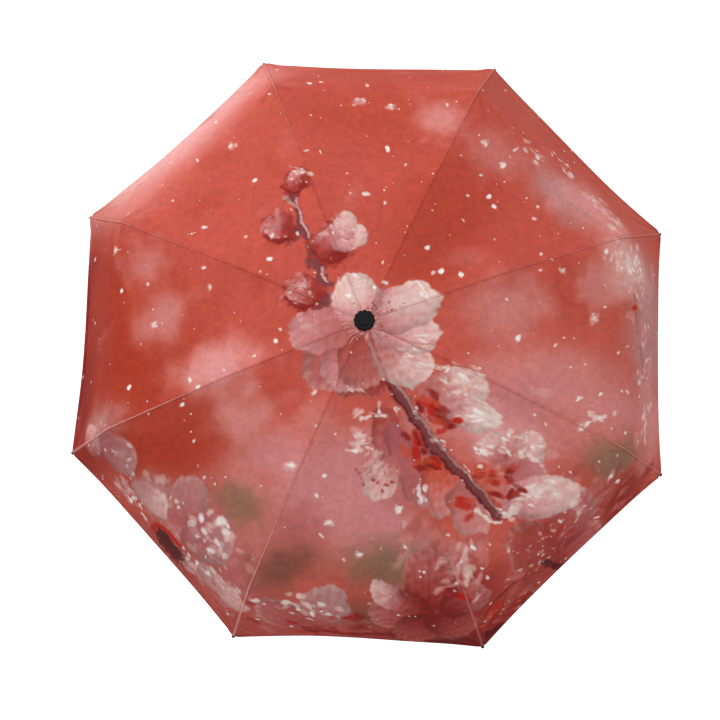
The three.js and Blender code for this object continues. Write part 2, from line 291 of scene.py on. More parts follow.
class Print:
    """Paint on the flat cloth. Lengths are millimetres, from the crown and measured along the cloth."""

    def __init__(self, x, y):
        # the layout below is drawn in a little near the hem, where each gore hangs lower
        drawn_in = 1 - 0.045 * smooth(300, 440, np.hypot(x, y))
        x, y = x * drawn_in, y * drawn_in
        # a brush never follows an even outline
        self.x = x + 2 * ripple(x, y, 34, 1) + 0.6 * ripple(x, y, 8, 2)
        self.y = y + 2 * ripple(x, y, 34, 3) + 0.6 * ripple(x, y, 8, 4)
        self.grain = ripple(x, y, 12, 5)
        self.rgb = np.tile(CORAL, (len(x), 1))
        self.draw = np.random.default_rng(21)

    def near(self, x, y, reach):
        return np.flatnonzero((np.abs(self.x - x) < reach) & (np.abs(self.y - y) < reach))

    def mix(self, where, colour, alpha):
        self.rgb[where] += (colour - self.rgb[where]) * np.clip(alpha, 0, 1)[:, None]

    def local(self, where, x, y, angle):
        dx, dy = self.x[where] - x, self.y[where] - y
        c, s = cos(radians(angle)), sin(radians(angle))
        return dx * c + dy * s, dy * c - dx * s

    def wash(self, x, y, long, wide, angle, colour, alpha=0.8):
        """A soft cloud of colour, long by wide in half sizes."""
        where = self.near(x, y, 2.2 * max(long, wide))
        a, b = self.local(where, x, y, angle)
        level = (a / long) ** 2 + (b / wide) ** 2
        level *= 1 + 0.25 * ripple(a, b, 0.9 * max(long, wide), int(self.draw.integers(900)))
        self.mix(where, colour, alpha * np.exp(-(level**1.5)))

    def blob(self, x, y, long, wide, angle, colour, alpha=1.0, soft=0.2):
        """A mark with a firm edge, long by wide in half sizes."""
        where = self.near(x, y, 1.5 * max(long, wide))
        a, b = self.local(where, x, y, angle)
        level = np.hypot(a / long, b / wide) * (1 + 0.12 * self.grain[where])
        self.mix(where, colour, alpha * (1 - smooth(1 - soft, 1 + soft, level)))

    def petal(self, x, y, long, wide, angle, heart, edge, rim=0.6, alpha=1.0):
        """A rounded petal in half sizes, streaked from its base to the pale, finely cut rim at angle."""
        where = self.near(x, y, 1.3 * max(long, wide))
        a, b = self.local(where, x, y, angle)
        a, b = a / long, b / wide
        phase = self.draw.uniform(0, 6, 3)
        fan = np.degrees(np.arctan2(b * wide, (a + 1.5) * long))
        cut = 0.025 * np.sin(fan / 1.9 + phase[0]) + 0.015 * np.sin(fan / 0.8 + phase[1])
        level = (np.abs(a) ** 2.3 + np.abs(b) ** 2.3) ** (1 / 2.3) * (1 + cut * smooth(-0.2, 0.6, a))
        soft = 1.3 / min(long, wide)
        inside = 1 - smooth(1 - soft, 1 + soft, level)
        streaks = 0.5 + 0.5 * np.sin(fan / 1.2 + 2.5 * np.sin(a * 3) + phase[2])
        shade = smooth(-1, 0.8, a) * (0.82 + 0.18 * streaks) + 0.1 * self.grain[where]
        colour = heart + (edge - heart) * np.clip(shade, 0, 1)[:, None]
        pale = rim * smooth(0.68, 0.95, level) * smooth(-0.3, 0.5, a) * (0.35 + 0.65 * streaks)
        colour = colour + (CREAM - colour) * np.clip(pale, 0, 1)[:, None]
        colour = colour * (1 - 0.16 * smooth(0.55, 1, level) * smooth(0.2, -0.7, b))[:, None]
        self.mix(where, colour, alpha * inside)

    def stroke(self, points, width, colour, alpha=1.0, taper=0.0):
        """A brush stroke through points, width wide at its start and less by taper at its end."""
        points = np.array(points, float)
        steps = np.concatenate([[0], np.cumsum(np.hypot(*np.diff(points, axis=0).T))])
        even = np.linspace(0, steps[-1], 8 * len(points))
        path = np.stack([np.interp(even, steps, points[:, i]) for i in (0, 1)], -1)
        for _ in range(4):
            path[1:-1] = (path[:-2] + 2 * path[1:-1] + path[2:]) / 4
        where = self.near(*path.mean(0), steps[-1] * 0.6 + 3 * width)
        best, share = np.full(len(where), 1e9), np.zeros(len(where))
        for i, (a, b) in enumerate(zip(path, path[1:])):
            d = b - a
            px, py = self.x[where] - a[0], self.y[where] - a[1]
            t = np.clip((px * d[0] + py * d[1]) / max(d @ d, 1e-6), 0, 1)
            distance = np.hypot(px - t * d[0], py - t * d[1])
            closer = distance < best
            best[closer], share[closer] = distance[closer], (i + t[closer]) / (len(path) - 1)
        half = width / 2 * (1 - taper * share) * (1 + 0.22 * self.grain[where])
        edge = np.maximum(half * 0.3, 0.8)
        self.mix(where, colour, alpha * (1 - smooth(half - edge, half + edge, best)))

    def dabs(self, x, y, long, wide, angle, count, size, colours, lean=0, narrow=0.4, alpha=0.85):
        """Short brush marks scattered over a patch, all leaning about one way."""
        for _ in range(count):
            a, b = self.draw.normal(0, 0.5, 2) * (long, wide)
            c, s = cos(radians(angle)), sin(radians(angle))
            r = size * self.draw.uniform(0.35, 1.25)
            tone = colours[self.draw.integers(len(colours))]
            turn = lean + self.draw.normal(0, 18)
            shape = narrow * self.draw.uniform(0.7, 1.4)
            strength = alpha * self.draw.uniform(0.55, 1)
            self.blob(x + a * c - b * s, y + a * s + b * c, r, r * shape, turn, tone, strength, 0.35)

    def stamens(self, x, y, reach, count, start=0, sweep=360):
        """Fine pale threads from a flower's heart, some with a small dark head."""
        for i in range(count):
            angle = radians(start + sweep * (i + self.draw.uniform(-0.3, 0.3)) / count)
            far = reach * self.draw.uniform(0.5, 1.1)
            end = (x + far * cos(angle), y + far * sin(angle))
            near = (x + 0.3 * far * cos(angle), y + 0.3 * far * sin(angle))
            self.stroke([near, end], 1.3, CREAM, 0.6, 0.5)
            if i % 3 == 0:
                self.blob(*end, 1.8, 1.5, 0, (SCARLET, ROSE_DARK)[i % 2], 0.8, 0.4)


def background(art):
    """Washes of colour under the blossom, with painted shade along the left and bottom hems and a painted
    highlight on the upper-left gore's outer band.
    """
    for x, y, long, wide, angle, tone, alpha in (
        # along the left hem: the print's dark brick, deepened as painted shade
        (-440, -20, 80, 190, 0, SHADED_BRICK, 1.0),
        (-460, 0, 50, 160, 0, WINE, 0.6),
        (-400, 60, 60, 100, 0, BRICK, 0.7),
        (-330, -60, 120, 110, 70, BRICK, 0.85),
        # painted highlight: pale washes over the outer band of the upper-left gore
        (-310, 310, 190, 70, 45, PALE_HAZE, 0.95),
        (-340, 320, 190, 40, 45, PALE, 0.6),
        (30, 420, 160, 40, 0, BRICK, 0.45),
        (-160, -190, 100, 50, -25, HAZE, 0.75),
        (-200, -300, 100, 60, -40, MID_PINK, 0.6),
        (-240, -170, 120, 60, 20, BRICK, 0.8),
        (100, 140, 130, 70, 60, BRICK, 0.45),
        (300, 60, 80, 40, 10, BRICK, 0.4),
        (20, 320, 120, 60, 0, BRICK, 0.25),
        (-201, -65, 62, 36, 20, PALE_HAZE, 0.9),
        (-160, -130, 50, 34, 0, PALE_HAZE, 0.7),
        (-294, 6, 44, 36, 40, HAZE, 0.85),
        (-325, 87, 34, 32, 0, HAZE, 0.7),
        (-61, -131, 30, 30, 0, HAZE, 0.5),
        (97, 316, 34, 30, 0, PALE_HAZE, 0.7),
        (180, 267, 50, 35, -30, HAZE, 0.6),
        (270, 213, 60, 30, -50, GREY, 0.7),
        (320, 190, 75, 34, -45, PALE_HAZE, 0.75),
        (198, 35, 70, 42, 10, HAZE, 0.8),
        (266, -64, 110, 60, -10, HAZE, 0.9),
        (200, -120, 90, 50, -20, MID_PINK, 0.85),
        (330, -120, 70, 50, 30, HAZE, 0.7),
        (330, 71, 35, 30, 0, HAZE, 0.8),
        (430, 20, 60, 130, 0, GREY, 0.9),
        (440, -120, 50, 80, 0, HAZE, 0.9),
        (380, 110, 50, 40, 0, PALE, 0.8),
        (-10, -230, 140, 100, 10, HAZE, 1.0),
        (80, -270, 100, 60, -30, MID_PINK, 0.9),
        (20, -180, 60, 40, 0, MID_PINK, 0.9),
        (-100, -200, 70, 50, -20, MID_PINK, 0.7),
        (-86, -285, 45, 40, 0, ROSE, 0.8),
        (-238, -256, 50, 36, 20, ROSE, 0.8),
        (-290, -240, 40, 26, -35, GREY, 0.85),
        (-386, -150, 50, 30, 30, GREY, 0.8),
        (-196, -320, 75, 50, -45, ROSE, 0.95),
        (-166, -251, 40, 30, -30, OLIVE, 0.75),
        (50, -327, 75, 34, 5, OLIVE, 0.9),
        (-105, -335, 50, 28, 15, OLIVE_DARK, 0.7),
        (17, -407, 40, 30, 0, OLIVE_DARK, 0.85),
        (358, -167, 45, 34, 20, OLIVE, 0.85),
        (400, -235, 50, 50, 40, CRIMSON, 0.9),
        (340, -360, 110, 120, 45, BUD_RED, 0.98),
        # along the bottom hem: the print's dark reds, deepened as painted shade
        (160, -460, 140, 100, 10, CRIMSON, 0.98),
        (80, -470, 140, 30, 0, MAROON, 0.8),
        (-100, -450, 140, 60, 0, ROSE_DARK, 0.9),
        (-300, -360, 100, 50, -45, ROSE_DARK, 0.9),
    ):
        art.wash(x, y, long, wide, angle, tone, alpha)
    for _ in range(90):
        x, y = art.draw.uniform(-480, 480, 2)
        tone = (HAZE, BRICK, ORANGE, ROSE_DARK)[art.draw.integers(4)]
        long = art.draw.uniform(10, 40)
        art.wash(x, y, long, long * 0.45, art.draw.uniform(0, 180), tone, art.draw.uniform(0.1, 0.3))


def brushwork(art):
    """Broad translucent marks under the flowers of the lower half."""
    for x, y, long, wide, angle, count, size, tones, lean in (
        (190, -180, 100, 70, -20, 70, 17, (HAZE, PALE_HAZE, MID_PINK, PALE), -15),
        (120, -290, 90, 50, -20, 60, 15, (HAZE, ROSE, PALE_HAZE, ROSE_DARK), 60),
        (300, -260, 120, 50, 45, 80, 15, (ROSE, HAZE, ROSE_DARK, MID_PINK), 40),
        (310, -350, 160, 40, 45, 90, 15, (ROSE_DARK, CRIMSON, SCARLET, ROSE), 50),
        (100, -430, 160, 40, 0, 80, 14, (ROSE_DARK, CRIMSON, ROSE, WINE), 10),
        (-110, -420, 120, 30, -5, 50, 13, (ROSE_DARK, ROSE, GREY, CRIMSON), -10),
        (-260, -320, 140, 40, -45, 70, 12, (ROSE, GREY, MID_PINK, ROSE_DARK), -40),
        (410, 0, 30, 130, 0, 40, 12, (HAZE, GREY, PALE_HAZE), -80),
    ):
        art.dabs(x, y, long, wide, angle, count, size, tones, lean, 0.4, 0.5)


def right_edge(art):
    """Blurred blossom with snow on it, along the hem on the right."""
    art.stroke([(240, 235), (285, 200), (330, 165)], 7, GREY, 0.6, 0.3)
    art.stroke([(385, 70), (390, 30), (405, -10), (410, -60)], 6, MAUVE, 0.6, 0.4)
    art.blob(385, 52, 7, 5, 40, SCARLET, 0.8)
    art.dabs(335, 195, 50, 16, -48, 26, 7, (PALE, PALE_HAZE, CREAM), -35)
    art.dabs(235, 275, 35, 12, -50, 16, 5, (PALE, GREY, SNOW), -35)
    art.dabs(290, 255, 30, 10, -48, 12, 5, (CREAM, PALE, SNOW), -35)
    art.dabs(370, 115, 35, 30, 0, 40, 5, (CREAM, PALE, SNOW), -70, 0.5)
    art.dabs(400, 100, 20, 45, 0, 34, 3.5, (SNOW, CREAM), -80, 0.5)
    art.dabs(415, 20, 12, 50, 0, 22, 4, (PALE_HAZE, CREAM), -80, 0.5)
    art.dabs(423, -110, 14, 35, -10, 26, 6, (CREAM, PALE, GREY), -75, 0.5)
    art.dabs(400, -50, 30, 60, 0, 12, 3.4, (SNOW, CREAM), 0, 0.8)
    art.dabs(330, -110, 30, 16, -20, 14, 4, (SNOW, CREAM), 10, 0.7)


def lower_left(art):
    """Blurred blossom and a red bud, along the hem on the lower left."""
    for x, y, long, wide, angle, heart, edge in (
        (-357, -184, 42, 28, -30, MAUVE, GREY),
        (-410, -172, 26, 22, 60, ROSE, PALE_HAZE),
        (-305, -247, 36, 20, -35, GREY, PALE),
        (-244, -249, 34, 30, 60, ROSE, GREY),
        (-215, -300, 42, 32, -20, MAUVE, GREY),
        (-200, -375, 52, 22, -45, GREY, PALE),
    ):
        art.petal(x, y, long, wide, angle, heart, edge, 0.3, 0.8)
    art.dabs(-287, -236, 30, 16, -30, 22, 8, (GREY, PALE, MID_PINK), -30, 0.5, 0.6)
    art.dabs(-339, -193, 25, 14, -35, 18, 6, (PALE, GREY, SNOW), -30, 0.5, 0.8)
    art.dabs(-386, -155, 30, 16, 20, 14, 6, (GREY, PALE), 10, 0.5, 0.7)
    art.dabs(-200, -300, 50, 35, -50, 46, 7, (MID_PINK, GREY, PALE, ROSE), -40, 0.55, 0.65)
    art.dabs(-200, -295, 35, 25, -50, 20, 5.5, (CREAM, SNOW), -30, 0.65)
    art.dabs(-190, -360, 40, 20, -50, 26, 6, (PALE, CREAM, GREY), -50, 0.45, 0.8)
    art.dabs(-270, -250, 20, 14, 0, 8, 3.5, (SNOW, CREAM), 0, 0.8)
    art.dabs(-360, -240, 30, 20, -50, 30, 8, (GREY, PALE, MID_PINK, GREY), -50, 0.5, 0.85)
    art.dabs(-250, -350, 45, 18, -42, 36, 8, (GREY, PALE, MID_PINK, ROSE), -42, 0.5, 0.85)
    art.dabs(-340, -255, 35, 18, -50, 12, 4.5, (CREAM, SNOW), -50, 0.7, 0.95)
    art.dabs(-235, -340, 40, 22, -42, 16, 4.5, (CREAM, SNOW), -42, 0.7, 0.95)
    art.blob(-288, -322, 34, 18, -50, MAROON, 0.95, 0.3)
    art.stroke([(-316, -298), (-298, -288), (-274, -298), (-262, -316)], 10, SCARLET, 1.0, 0.15)
    art.dabs(-268, -300, 6, 6, 0, 5, 2, (PALE, ORANGE), 0, 0.7)


def hem_blossoms(art):
    """The flowers that the lower hem cuts through."""
    art.petal(-110, -410, 40, 34, 150, ROSE_DARK, ROSE, 0.3)
    art.petal(-50, -400, 46, 36, 60, ROSE_DARK, GREY, 0.3)
    art.dabs(-80, -390, 45, 20, -10, 40, 5.5, (CREAM, PALE, SNOW, GREY), -20, 0.6)
    art.dabs(-12, -409, 20, 10, 0, 12, 7, (SCARLET, CRIMSON), 10, 0.6)
    art.dabs(-60, -440, 60, 12, 0, 14, 8, (SCARLET, CRIMSON, WINE), 0, 0.4, 0.85)
    art.stroke([(-80, -445), (0, -450), (80, -440)], 7, WINE, 0.7, 0.2)
    for x, y, long, wide, angle, heart, edge in (
        (100, -345, 42, 34, 100, CRIMSON, ROSE),
        (62, -395, 44, 36, 175, CRIMSON, ROSE),
        (90, -430, 36, 36, -120, WINE, ROSE_DARK),
        (140, -420, 40, 34, -40, WINE, ROSE_DARK),
        (150, -370, 36, 30, 30, WINE, ROSE),
    ):
        art.petal(x, y, long, wide, angle, heart, edge, 0.15, 0.94)
    art.petal(40, -366, 24, 16, 150, ROSE, PALE, 0.5)
    art.dabs(36, -368, 18, 10, 0, 12, 6, (MID_PINK, PALE), 10, 0.5, 0.8)
    art.stroke([(110, -385), (130, -392), (150, -385)], 4, WINE, 0.8, 0.5)
    art.dabs(145, -360, 18, 8, -15, 9, 8, (SCARLET, WINE), -15, 0.5, 0.95)
    art.dabs(195, -420, 10, 30, -20, 9, 9, (SCARLET, ORANGE), 70, 0.4, 0.9)
    art.stroke([(200, -455), (225, -440), (262, -425)], 13, MAROON, 0.9, 0.3)
    art.stroke([(190, -400), (205, -370), (225, -350)], 5, MAROON, 0.6, 0.4)
    art.dabs(240, -400, 30, 20, 0, 12, 3, (CREAM, PALE), 0, 0.7, 0.8)
    art.dabs(148, -313, 14, 40, 10, 34, 8, (PALE, MID_PINK, CREAM), 75, 0.4, 0.7)
    art.dabs(125, -330, 30, 20, -20, 18, 7, (MID_PINK, PALE), 20, 0.4, 0.6)
    for x, y, angle, tone in (
        (280, -340, -60, ROSE_DARK),
        (330, -300, 10, ROSE),
        (250, -300, 150, ROSE_DARK),
        (300, -255, 60, ROSE),
    ):
        art.petal(x, y, 48, 38, angle, BUD_RED, tone, 0.35, 0.9)
    art.dabs(250, -290, 45, 40, 40, 30, 2.6, (CREAM, PALE), 30, 0.6)
    art.dabs(300, -270, 40, 20, 45, 14, 9, (ROSE, SCARLET), 45, 0.35, 0.6)
    art.stroke([(270, -318), (293, -336), (318, -338)], 12, MAROON, 0.9, 0.2)
    art.dabs(390, -240, 30, 20, 50, 14, 9, (SCARLET, CRIMSON, ROSE), 60, 0.4, 0.7)
    art.dabs(370, -290, 35, 10, 50, 9, 9, (SCARLET, CRIMSON), 50, 0.45, 0.9)
    art.dabs(250, -325, 40, 30, 20, 16, 3, (YELLOW, CREAM, PALE), 30, 0.5, 0.8)


def branches(art):
    thick = [(29, -70), (45, -90), (67, -116), (100, -163), (141, -200), (192, -254)]
    art.stroke(thick, 15, BARK, 0.97, 0.1)
    art.stroke([(x + 3, y + 4) for x, y in thick], 4, BARK_LIGHT, 0.7, 0.2)
    art.stroke([(x - 4, y - 4) for x, y in thick], 4, MAROON, 0.6, 0.2)
    art.stroke([(160, -245), (180, -262), (198, -262)], 6, CREAM, 0.9, 0.4)
    for x, y in thick[2:]:
        art.dabs(x + 4, y + 4, 12, 8, -45, 7, 3.2, (CREAM, SNOW), -45)
    thin = [(-104, 185), (-102, 168), (-93, 135), (-78, 110), (-66, 80), (-55, 52)]
    art.stroke(thin, 9, BARK, 0.97, -0.6)
    art.stroke([(x + 2.6, y + 1.5) for x, y in thin], 2.8, PALE, 0.8, -0.2)
    art.stroke([(-118, 178), (-110, 170), (-100, 165)], 6, BARK_LIGHT, 0.9, 0.3)
    art.stroke([(-112, 128), (-98, 130)], 8, BARK_LIGHT, 0.8, 0.3)
    art.stroke([(-70, 95), (-58, 100)], 6, BARK, 0.9, 0.3)
    art.dabs(-68, 88, 7, 30, 25, 12, 2.6, (CREAM, SNOW), 100)


def bud(art, x, y, size, angle, tip):
    """A round red bud in a dark calyx, frilled with pale petal at its open end."""
    c, s = cos(radians(angle)), sin(radians(angle))
    art.blob(x - 0.75 * size * c, y - 0.75 * size * s, size * 0.6, size * 0.5, angle, BARK)
    art.blob(x, y, size, size * 0.88, angle, BUD_RED, 1, 0.09)
    art.wash(x + 0.25 * size, y - 0.5 * size, size * 0.7, size * 0.4, 30, WINE, 0.7)
    art.wash(x - 0.25 * size, y + 0.35 * size, size * 0.5, size * 0.32, 30, MID_PINK, 0.8)
    low_side = np.radians([190, 235, 280, 320])
    rim = [(x + size * 0.92 * cos(f), y + size * 0.86 * sin(f)) for f in low_side]
    art.stroke(rim, 2, MAROON, 0.55, 0.3)
    inner = (x - 0.15 * size * s, y + 0.15 * size * c)
    art.petal(*inner, size * 0.75, size * 0.42, angle + 20, BUD_RED, MID_PINK, 0.5)
    top = (x + 0.68 * size * c, y + 0.68 * size * s)
    art.dabs(*top, size * 0.3, size * 0.8, angle, 24, size * 0.2, tip, angle + 80, 0.45, 0.9)
    art.dabs(x, y, size * 0.9, size * 0.9, 0, 7, 1.8, (SNOW, CREAM), 0, 0.8)


def centre_blossom(art):
    heart = (1, -6)
    art.petal(-4, -80, 20, 36, -92, WINE, ROSE_DARK, 0.2)
    for x, y, long, wide, angle, inner, edge, rim in (
        (-40, -52, 45, 35, -138, ROSE_DARK, ROSE, 0.3),
        (-24, -60, 32, 30, -120, ROSE, MID_PINK, 0.3),
        (-2, -52, 36, 34, -90, ROSE_DARK, ROSE, 0.25),
        (-58, -12, 44, 30, -172, ROSE, MID_PINK, 0.25),
        (-52, 8, 40, 30, 168, ROSE, MID_PINK, 0.4),
        (48, -42, 48, 36, -40, ROSE, PALE, 0.6),
        (56, -12, 46, 28, -4, MID_PINK, PALE, 0.6),
        (52, 22, 50, 32, 26, MID_PINK, PALE, 0.75),
        (-12, 30, 36, 34, 104, MID_PINK, PALE, 0.85),
    ):
        art.petal(x, y, long, wide, angle, inner, edge, rim)
    art.wash(-16, 38, 20, 18, 110, CREAM, 0.6)
    art.wash(56, 30, 30, 18, 20, CREAM, 0.6)
    art.stroke([(13, 5), (19, 28), (22, 48)], 2.6, ROSE, 0.6, 0.3)
    art.stroke([(20, -12), (60, -24), (98, -26)], 2.4, ROSE, 0.5, 0.3)
    art.dabs(-14, 56, 26, 6, -5, 12, 4, (CREAM, PALE, SNOW), -10)
    art.dabs(77, 44, 18, 8, -40, 10, 4, (CREAM, SNOW), -40)
    art.dabs(66, -48, 28, 20, -20, 30, 7, (CREAM, PALE, SNOW), -22, 0.22, 0.75)
    art.dabs(80, -18, 16, 6, 0, 6, 5, (CREAM, SNOW), -10, 0.25)
    art.dabs(-75, 12, 18, 20, 0, 10, 6, (PALE, MID_PINK), 60, 0.2, 0.5)
    art.dabs(-50, -55, 30, 20, 40, 12, 7, (ROSE_DARK, MID_PINK), 40, 0.2, 0.5)
    art.dabs(-5, -90, 20, 4, 0, 7, 4.5, (CREAM, PALE), 0, 0.4)
    art.dabs(35, 22, 22, 14, 30, 14, 1.8, (ROSE_DARK, BARK), 0, 0.8)
    art.wash(*heart, 17, 15, 0, MAUVE, 0.7)
    art.stamens(*heart, 38, 26)
    art.stroke([(6, -30), (20, -52), (34, -74)], 6, GREY, 0.8, 0.2)


def lower_blossoms(art):
    """The open flowers round the thick branch."""
    art.wash(90, -200, 70, 60, -40, ROSE, 0.8)
    art.wash(130, -230, 50, 60, 0, ORANGE, 0.7)
    art.wash(190, -150, 70, 35, -10, PALE_HAZE, 0.8)
    for x, y, long, wide, angle, inner, edge, rim in (
        (42, -165, 60, 22, -70, ROSE_DARK, MID_PINK, 0.2),
        (62, -190, 60, 18, -66, MAUVE, ROSE, 0.3),
        (30, -205, 34, 22, -112, ROSE, PALE, 0.5),
        (110, -215, 45, 26, -78, ORANGE, HAZE, 0.2),
        (150, -245, 40, 30, -62, ROSE, HAZE, 0.2),
        (122, -85, 45, 28, 12, ROSE, PALE, 0.8),
        (148, -116, 40, 22, -12, MID_PINK, CREAM, 0.9),
        (222, -168, 36, 28, 30, ROSE, PALE, 0.5),
        (232, -195, 30, 20, -5, ROSE, MID_PINK, 0.4),
        (182, -162, 22, 18, 120, ROSE, PALE, 0.6),
        (250, -226, 56, 28, 12, MID_PINK, PALE, 0.6),
    ):
        art.petal(x, y, long, wide, angle, inner, edge, rim)
    art.dabs(130, -77, 35, 20, -15, 32, 7, (CREAM, SNOW, PALE), -20, 0.32)
    art.dabs(160, -118, 30, 12, -15, 24, 8, (SNOW, CREAM, PALE), -15, 0.3)
    art.dabs(105, -56, 20, 4, -10, 9, 3, (SNOW, CREAM), 0, 0.8)
    art.dabs(220, -160, 35, 22, -20, 34, 5.5, (CREAM, SNOW, PALE), -15, 0.5)
    art.dabs(165, -165, 20, 8, -10, 10, 4.5, (CREAM, SNOW), -15, 0.5)
    art.dabs(251, -221, 45, 16, 12, 50, 7, (CREAM, PALE, CREAM, SNOW), 10, 0.42, 0.8)
    art.dabs(305, -232, 20, 24, 30, 24, 6, (PALE, MID_PINK, CREAM), 40, 0.45, 0.8)
    art.dabs(200, -251, 22, 10, -5, 14, 6, (CREAM, SNOW), 0, 0.4)
    art.dabs(99, -115, 35, 14, -25, 18, 10, (SCARLET, ORANGE, WINE), -25, 0.42, 0.9)
    art.dabs(128, -127, 20, 8, 20, 7, 8, (SCARLET, WINE), 20, 0.4, 0.9)
    art.dabs(72, -158, 14, 26, 15, 18, 9, (SCARLET, WINE, ORANGE), 110, 0.45, 0.95)
    art.dabs(96, -186, 16, 10, 0, 9, 8, (WINE, SCARLET), -20, 0.5, 0.9)
    art.dabs(182, -200, 30, 14, 0, 18, 8, (ORANGE, SCARLET, CRIMSON), 0, 0.5, 0.85)
    art.dabs(200, -222, 30, 10, 10, 14, 8, (SCARLET, CRIMSON), 10, 0.45, 0.85)
    art.dabs(140, -238, 18, 12, 20, 10, 8, (SCARLET, ORANGE), 20, 0.45, 0.8)
    art.dabs(3, -122, 20, 6, 5, 10, 7, (SNOW, PALE), 5, 0.3)
    art.dabs(24, -114, 4, 8, 0, 3, 4, (SNOW,), 60, 0.7)
    art.dabs(0, -158, 18, 14, -30, 20, 6, (CREAM, SNOW, PALE), -20, 0.5)
    art.dabs(26, -190, 12, 30, 30, 20, 6, (PALE, CREAM), 50, 0.3, 0.6)
    art.dabs(53, -243, 10, 9, 0, 9, 6, (SNOW, CREAM), 0, 0.6)
    art.dabs(82, -223, 6, 20, 0, 12, 5, (SNOW, PALE), 80, 0.45)
    art.dabs(66, -262, 10, 8, 0, 6, 5, (PALE, MID_PINK), 40, 0.5)
    for i in range(9):
        angle = radians(-150 + 11 * i)
        thread = np.array([cos(angle), sin(angle)]) * art.draw.uniform(28, 50)
        start, end = [np.array([26, -178]) + share * thread for share in (0.3, 1)]
        art.stroke([start, end], 1.6, PALE, 0.6)
        art.blob(*end, 3, 2, degrees(angle), ROSE_DARK, 0.9)


def snow(art):
    """Flakes as rings of small dabs, then single specks."""
    flakes = (
        (-21, 345), (24, 337), (190, 250), (275, 92), (-306, -4), (-220, 46),
        (2, -315), (-41, -272), (-211, 270), (325, 30), (305, -125), (165, 285),
        (-370, 110), (350, -190), (-95, -194),
    )  # fmt: skip
    for x, y in flakes:
        size = art.draw.uniform(5, 8)
        art.blob(x, y, size * 1.1, size * 0.8, art.draw.uniform(0, 180), PALE, 0.55, 0.4)
        art.dabs(x, y, size * 0.9, size * 0.7, 0, 9, 2.3, (SNOW, CREAM), 0, 0.7)
    for x, y in (
        (-169, 210), (-100, 375), (20, 262), (175, 180), (80, 105), (210, -9),
        (-230, -90), (-335, -90), (-360, 52), (335, -78), (100, 75), (-135, 87),
        (128, 71), (-120, -30), (168, 195), (-50, -205), (-250, -115), (160, -300),
    ):  # fmt: skip
        r = art.draw.uniform(3.2, 4.6)
        art.blob(x, y, r, r * art.draw.uniform(0.7, 1), art.draw.uniform(0, 180), SNOW, 0.95, 0.2)
    for _ in range(190):
        x, y = art.draw.uniform(-470, 470, 2)
        r = art.draw.uniform(1.3, 2.7)
        art.blob(x, y, r * 1.2, r * art.draw.uniform(0.7, 1), art.draw.uniform(0, 180), SNOW, 0.8, 0.35)


def painted(x, y):
    art = Print(x, y)
    background(art)
    brushwork(art)
    right_edge(art)
    lower_left(art)
    hem_blossoms(art)
    lower_blossoms(art)
    branches(art)
    centre_blossom(art)
    bud(art, -104, 203, 22, 80, (PALE, CREAM, MID_PINK))
    bud(art, -124, 131, 25, 155, (ROSE, MID_PINK))
    bud(art, -50, 108, 32, 50, (PALE, CREAM, MID_PINK))
    art.petal(-26, 118, 26, 20, 20, MID_PINK, PALE, 0.7)
    art.petal(-34, 134, 22, 16, 70, MID_PINK, PALE, 0.8)
    art.dabs(-30, 126, 26, 20, -20, 22, 4.5, (PALE, MID_PINK, CREAM), -30, 0.4, 0.8)
    bud(art, -83, 39, 28, 150, (ROSE, MID_PINK))
    art.stamens(-81, 43, 24, 7, 60, 140)
    snow(art)
    return linear(np.clip(art.rgb, 0, 1))


# ---- node helpers ----
class Nodes:
    """A material's node tree, with short ways to add and join nodes."""

    def __init__(self, name):
        self.material = bpy.data.materials.new(name)
        self.material.use_nodes = True
        self.tree = self.material.node_tree
        self.tree.nodes.clear()
        self.out = self.add("ShaderNodeOutputMaterial")
        self.shader = self.add("ShaderNodeBsdfPrincipled")
        self.join(self.shader.outputs["BSDF"], self.out.inputs["Surface"])

    def add(self, kind, **settings):
        node = self.tree.nodes.new(kind)
        for key, value in settings.items():
            setattr(node, key, value)
        return node

    def join(self, source, target):
        self.tree.links.new(source, target)

    def feed(self, socket, value):
        if isinstance(value, bpy.types.NodeSocket):
            self.join(value, socket)
        else:
            socket.default_value = value

    def set(self, **values):
        """Sets sockets of the shader: names with spaces are written with underscores."""
        for key, value in values.items():
            self.feed(self.shader.inputs[key.replace("_", " ")], value)

    def math(self, operation, a, b=0.0, c=0.0):
        node = self.add("ShaderNodeMath", operation=operation)
        for socket, value in zip(node.inputs, (a, b, c)):
            self.feed(socket, value)
        return node.outputs[0]

    def ramp(self, value, low, high, bottom=0.0, top=1.0):
        node = self.add("ShaderNodeMapRange", interpolation_type="SMOOTHSTEP")
        self.feed(node.inputs["Value"], value)
        for end, number in (("From Min", low), ("From Max", high), ("To Min", bottom), ("To Max", top)):
            node.inputs[end].default_value = number
        return node.outputs["Result"]

    def mix(self, factor, a, b, blend="MIX"):
        node = self.add("ShaderNodeMix", data_type="RGBA", blend_type=blend)
        self.feed(node.inputs[0], factor)
        self.feed(node.inputs[6], a)
        self.feed(node.inputs[7], b)
        return node.outputs[2]

    def noise(self, vector, scale, detail=3.0, rough=0.5):
        node = self.add("ShaderNodeTexNoise")
        self.feed(node.inputs["Vector"], vector)
        for key, value in (("Scale", scale), ("Detail", detail), ("Roughness", rough)):
            node.inputs[key].default_value = value
        return node.outputs["Fac"]

    def place(self):
        return self.add("ShaderNodeTexCoord").outputs["Object"]

    def uv(self, name):
        return self.add("ShaderNodeUVMap", uv_map=name).outputs["UV"]

    def bump(self, height, depth, strength=1.0):
        node = self.add("ShaderNodeBump")
        node.inputs["Strength"].default_value = strength
        node.inputs["Distance"].default_value = depth
        self.feed(node.inputs["Height"], height)
        self.join(node.outputs["Normal"], self.shader.inputs["Normal"])


def rgba(colour):
    return (*[float(v) for v in colour], 1.0)


